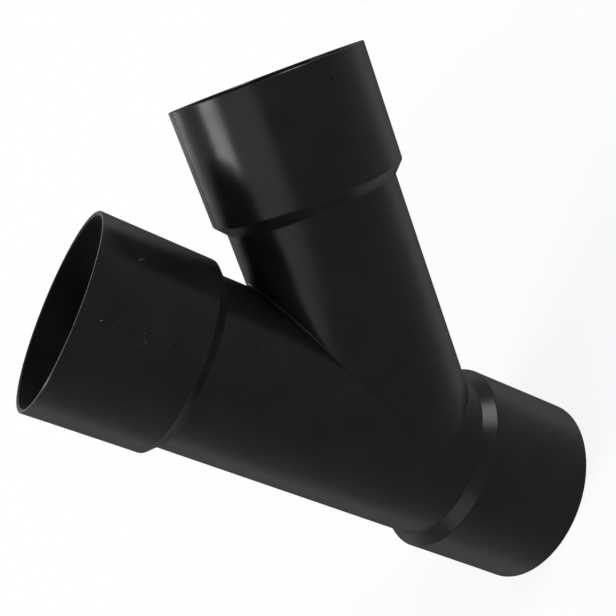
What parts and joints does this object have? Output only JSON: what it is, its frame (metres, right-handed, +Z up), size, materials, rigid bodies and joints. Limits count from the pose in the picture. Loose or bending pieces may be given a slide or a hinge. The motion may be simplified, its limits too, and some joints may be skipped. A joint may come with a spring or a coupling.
{
  "type": "lateral wye fitting",
  "caption": "Hollow moulded pipe wye: a straight run with a branch of the same bore leaving it at 45 degrees, and a plain socket at each mouth.",
  "frame": {"origin": "middle of the mouth of the run's outlet socket, on which the fitting stands", "axes": "+Z up the run's axis towards its inlet, +X the way the branch leans, +Y across the fitting, square to both axes of flow"},
  "size_m": [0.2696, 0.1194, 0.3298],
  "materials": {
    "moulding": "satin, as moulded"
  },
  "bodies": {
    "root": {"wye_fitting": "moulding"}
  },
  "joints": []
}
